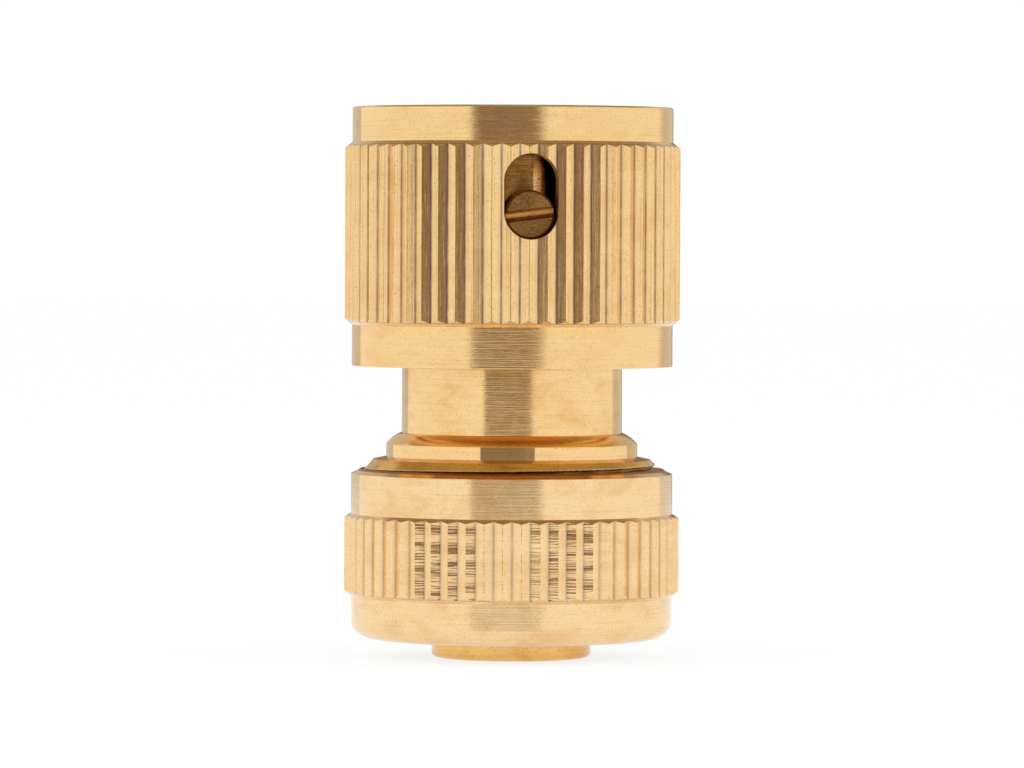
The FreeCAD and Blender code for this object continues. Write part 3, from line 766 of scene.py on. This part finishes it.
softenCorners(profile, c["cornerRound"],
              keep=lambda v: v.co.x > (c["bandRadius"] + margin) * mm
              or foot + 1 < v.co.z / mm < knurlHigh + 0.5)
turn(profile, knurlSteps)
cutTeeth(profile, c["bandRadius"], c["valleyAngle"])
finishPiece("hoseNut", profile, brassNut, "nut", "hose_nut", sharpAngle=20,
            patches=((brassNutKnurl, lambda radius, z, middle: radius > c["bandRadius"] + margin),
                     (brassNutEdge, lambda radius, z, middle: z > top - c["topChamferHeight"]),
                     (brassThread, lambda radius, z, middle: z > c["coneHigh"] + margin
                      and radius < c["boreRadius"] + hair),
                     # painted shadow on the nut's inner top edge, beside the thread
                     (brassGapShade, lambda radius, z, middle: z > top - c["leadInHeight"])))
print("hose nut made")


# guide screw, its groove is a hollow
screw = {
    "headRadius": 2.145,
    "faceRadius": 13.6,
    "seatRadius": 10.15,
    "shankRadius": 1.25,
    "shankEnd": 9.2,
    "edge": 0.17,
    "grooveWidth": 0.98,
    "grooveDepth": 0.5,
    "grooveTilt": 7.0,
    "grooveLean": 8.0,      # its floor looks a little downwards
    "grooveCutter": 8.0,    # longer than the head is wide
    "grooveReach": 1.5,     # no part of the groove lies further behind the face
    "steps": 64,
}


def inGroove(middle):  # behind the screw's face and inside its edge
    fromAxis = math.hypot(middle.x, middle.z - socket["screwHeight"])
    return (hair < middle.y + screw["faceRadius"] < screw["grooveReach"]
            and fromAxis < screw["headRadius"] - screw["edge"] - hair)


def inLowGroove(middle):  # the side of the groove that faces upwards
    rise = middle.x * math.tan(math.radians(screw["grooveTilt"]))
    return inGroove(middle) and middle.z - socket["screwHeight"] < rise - margin


c = screw
height = socket["screwHeight"]
profile = bmesh.new()
outline = [(0, c["shankEnd"]), (c["shankRadius"], c["shankEnd"]), (c["shankRadius"], c["seatRadius"]),
           (c["headRadius"], c["seatRadius"]), (c["headRadius"], c["faceRadius"] - c["edge"]),
           (c["headRadius"] - c["edge"], c["faceRadius"]), (0, c["faceRadius"])]
verts = [profile.verts.new((across * mm, -out * mm, height * mm)) for across, out in outline]
for here, after in zip(verts, verts[1:]):
    profile.edges.new((here, after))
bmesh.ops.spin(profile, geom=profile.verts[:] + profile.edges[:], cent=(0, 0, height * mm), axis=(0, 1, 0),
               angle=2 * math.pi, steps=c["steps"], use_merge=True)
groove = bmesh.new()
bmesh.ops.create_cone(groove, cap_ends=True, segments=32, radius1=mm, radius2=mm,
                      depth=c["grooveCutter"] * mm,
                      matrix=Matrix.Translation((0, -c["faceRadius"] * mm, height * mm))
                      @ Matrix.Rotation(math.radians(-c["grooveTilt"]), 4, "Y")
                      @ Matrix.Rotation(math.radians(c["grooveLean"]), 4, "X")
                      @ Matrix.Diagonal((1, c["grooveDepth"], c["grooveWidth"] / 2, 1))
                      @ Matrix.Rotation(math.radians(90), 4, "Y"))
profile = cutAway(profile, groove)
finishPiece("guideScrew", profile, brassScrew, "root", "guide_screw",
            # painted shade on the edge and the groove's lower side, painted bounce light in the rest of the
            # groove
            patches=((brassScrewEdgeShade, lambda radius, z, middle: middle.y > -c["faceRadius"] + 0.001),
                     (brassGrooveLit, lambda radius, z, middle: inGroove(middle)),
                     (brassGrooveShade, lambda radius, z, middle: inLowGroove(middle))))
print("guide screw made")


# locking balls
for number in range(4):
    ball = bmesh.new()
    place = front(socket["ballSeat"], socket["ballAngle"] + 90 * number, socket["ballHeight"])
    bmesh.ops.create_uvsphere(ball, u_segments=48, v_segments=24, radius=socket["ballRadius"] * mm,
                              matrix=Matrix.Translation(place))
    name = str(number + 1)
    finishPiece("lockBall" + name, ball, steelBall, "ball_" + name, "lock_ball_" + name,
                sharpAngle=60)
print("balls made")


# springs, coiled between the ends of their CAD parts
stepsPerTurn = 48
springs = {
    "collarSpring": {"node": "collar_spring", "joint": "collar_slide", "radius": 11.475, "wire": 0.8,
                     "turns": 3.5, "travel": 3.2},
    "valveSpring": {"node": "valve_spring", "joint": "valve_slide", "radius": 4.85, "wire": 0.6,
                    "turns": 4.5, "travel": 3.6},
}
for name, c in springs.items():
    low, high = lowHigh(c["node"])
    coil = bmesh.new()
    rise = high - low - c["wire"]
    lean = math.atan(rise / (2 * math.pi * c["turns"] * c["radius"]))
    start = Vector((c["radius"], 0, low + c["wire"] / 2)) * mm
    bmesh.ops.create_circle(coil, segments=16, radius=c["wire"] / 2 * mm, matrix=Matrix.Translation(start)
                            @ Matrix.Rotation(math.radians(90) + lean, 4, "X"))
    steps = int(stepsPerTurn * c["turns"])
    bmesh.ops.spin(coil, geom=coil.verts[:] + coil.edges[:], cent=(0, 0, 0), axis=(0, 0, 1),
                   dvec=(0, 0, rise * mm / steps), angle=2 * math.pi * c["turns"], steps=steps)
    bmesh.ops.holes_fill(coil, edges=[e for e in coil.edges if len(e.link_faces) == 1], sides=0)
    piece = finishPiece(name, coil, steelWire, "root", c["node"], sharpAngle=50)
    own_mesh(piece)
print("springs made")


# rings, valve and collet keep their CAD shape and get a finish
finishes = {
    "spring_seat_ring": brassBand,
    "retaining_ring": steelWire,
    "valve_plunger": acetal,
    "valve_seal": rubber,
    "valve_guide": acetal,
    "body_seal": rubber,
    "grip_collet": acetal,
}
for node, finish in finishes.items():
    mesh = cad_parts[node].data
    for place in range(len(mesh.materials)):
        mesh.materials[place] = finish
print("hidden pieces finished")


# studio: a white tent with one dark flag in front, which the metal shows
studio = {
    "wallDistance": 0.30,
    "wallHeight": 0.22,
    "wallLevel": (0.99, 0.99, 0.985),
    "flagFrom": -34.6,      # degrees from the guide screw
    "flagMiddle": 5.0,
    "flagTo": 14.2,
    "rearFrom": 124,
    "rearFlagFrom": 160,
    "rearFlagTo": 182,
    "rearTo": 215,
    "flagLevel": (0.275, 0.215, 0.185),
    "flagRightLevel": (0.32, 0.255, 0.22),
    "rearLeftLevel": (0.66, 0.64, 0.60),
    "rearFlagLevel": (0.25, 0.20, 0.17),
    "rearRightLevel": (0.66, 0.63, 0.58),
    "wallSteps": 24,
    "ceilingSteps": 48,
    "floorSize": 3.0,
    "ceilingLevel": (0.40, 0.37, 0.34),
    "floorPaint": 0.97,
    "floorGlow": 0.86,      # share that shines by itself to the camera
    "floorGlowInMetal": 0.75,
}


def addStage(name, bm, material, seenByCamera=False):
    thing = meshObject(name, bm)
    thing.data.materials.append(material)
    if not seenByCamera:  # these only show in the metal
        thing.visible_camera = False
        thing.visible_shadow = False
        thing.visible_diffuse = False


def emptyTree(name):
    material, tree = nodeTree(name)[:2]
    tree.nodes.clear()
    out = tree.nodes.new("ShaderNodeOutputMaterial")
    return material, tree, out.inputs["Surface"]


def lightCard(name, level):  # shines evenly
    material, tree, surface = emptyTree(name)
    glow = tree.nodes.new("ShaderNodeEmission")
    glow.inputs["Color"].default_value = (*level, 1.0)
    tree.links.new(glow.outputs["Emission"], surface)
    return material


def whiteFloor(name):  # diffuse paint, with a glow that keeps it white in the picture and in the metal
    material, tree, surface = emptyTree(name)
    paint = tree.nodes.new("ShaderNodeBsdfDiffuse")
    paint.inputs["Color"].default_value = (studio["floorPaint"],) * 3 + (1.0,)
    glow = tree.nodes.new("ShaderNodeEmission")
    path = tree.nodes.new("ShaderNodeLightPath")
    byCamera = calc(tree, "MULTIPLY", path.outputs["Is Camera Ray"], studio["floorGlow"])
    inMetal = calc(tree, "MAXIMUM", path.outputs["Is Glossy Ray"], path.outputs["Is Transmission Ray"])
    shown = calc(tree, "MULTIPLY", inMetal, studio["floorGlowInMetal"])
    mix = tree.nodes.new("ShaderNodeMixShader")
    tree.links.new(calc(tree, "ADD", byCamera, shown), mix.inputs["Fac"])
    tree.links.new(paint.outputs["BSDF"], mix.inputs[1])
    tree.links.new(glow.outputs["Emission"], mix.inputs[2])
    tree.links.new(mix.outputs["Shader"], surface)
    return material


s = studio
walls = {  # from, to and level
    "frontFlag": (s["flagFrom"], s["flagMiddle"], s["flagLevel"]),
    "rightFlag": (s["flagMiddle"], s["flagTo"], s["flagRightLevel"]),
    "rightWall": (s["flagTo"], s["rearFrom"], s["wallLevel"]),
    "leftWall": (s["rearTo"] - 360, s["flagFrom"], s["wallLevel"]),
    "rearRight": (s["rearFrom"], s["rearFlagFrom"], s["rearRightLevel"]),
    "rearFlag": (s["rearFlagFrom"], s["rearFlagTo"], s["rearFlagLevel"]),
    "rearLeft": (s["rearFlagTo"] - 360, s["rearTo"] - 360, s["rearLeftLevel"]),
}
for name, (start, end, level) in walls.items():
    wall = bmesh.new()
    ends = [wall.verts.new(front(s["wallDistance"] / mm, start, z / mm)) for z in (0, s["wallHeight"])]
    bmesh.ops.spin(wall, geom=ends + [wall.edges.new(ends)], cent=(0, 0, 0), axis=(0, 0, 1),
                   angle=math.radians(end - start), steps=s["wallSteps"])
    addStage(name, wall, lightCard(name, level))
ceiling = bmesh.new()
bmesh.ops.create_circle(ceiling, cap_ends=True, segments=s["ceilingSteps"], radius=s["wallDistance"],
                        matrix=Matrix.Translation((0, 0, s["wallHeight"])))
addStage("ceiling", ceiling, lightCard("ceiling", s["ceilingLevel"]))

floor = bmesh.new()
bmesh.ops.create_grid(floor, x_segments=1, y_segments=1, size=s["floorSize"])
addStage("floor", floor, whiteFloor("floorWhite"), seenByCamera=True)

world = bpy.data.worlds.new("whiteRoom")
bpy.context.scene.world = world
world.use_nodes = True
background = world.node_tree.nodes["Background"]
background.inputs["Color"].default_value = (1, 1, 1, 1)
background.inputs["Strength"].default_value = 1.0

lamps = {
    "angles": {"leftLamp": -70, "rightLamp": 70},   # degrees from the guide screw
    "watts": 0.5,
    "size": (0.35, 0.30),
    "distance": 0.42,
    "height": 0.23,
    "aimHeight": 0.025,
}
for name, angle in lamps["angles"].items():
    light = bpy.data.lights.new(name, "AREA")
    light.shape = "RECTANGLE"
    light.size, light.size_y = lamps["size"]
    light.energy = lamps["watts"]
    holder = bpy.data.objects.new(name, light)
    holder.location = front(lamps["distance"] / mm, angle, lamps["height"] / mm)
    aim = Vector((0, 0, lamps["aimHeight"])) - holder.location
    holder.rotation_euler = aim.to_track_quat("-Z", "Y").to_euler()
    holder.visible_glossy = False
    bpy.context.scene.collection.objects.link(holder)
print("studio made")


# camera, matched to the photograph
view = {
    "distance": 0.591,
    "turn": -6.4,           # degrees from the guide screw
    "eyeHeight": 0.03834,
    "aimHeight": 0.02447,
    "lens": 232.03,
    "sensor": 36.0,
    "lean": 0.24,
}
camera = bpy.data.cameras.new("camera")
camera.lens = view["lens"]
camera.sensor_width = view["sensor"]
camera.clip_start = 0.01
holder = bpy.data.objects.new("camera", camera)
bpy.context.scene.collection.objects.link(holder)
holder.location = front(view["distance"] / mm, view["turn"], view["eyeHeight"] / mm)
aim = Vector((0, 0, view["aimHeight"])) - holder.location
holder.rotation_euler = (aim.to_track_quat("-Z", "Y").to_matrix().to_4x4()
                         @ Matrix.Rotation(math.radians(view["lean"]), 4, "Z")).to_euler()
bpy.context.scene.camera = holder

bpy.context.scene.view_settings.view_transform = "Standard"
print("scene ready")
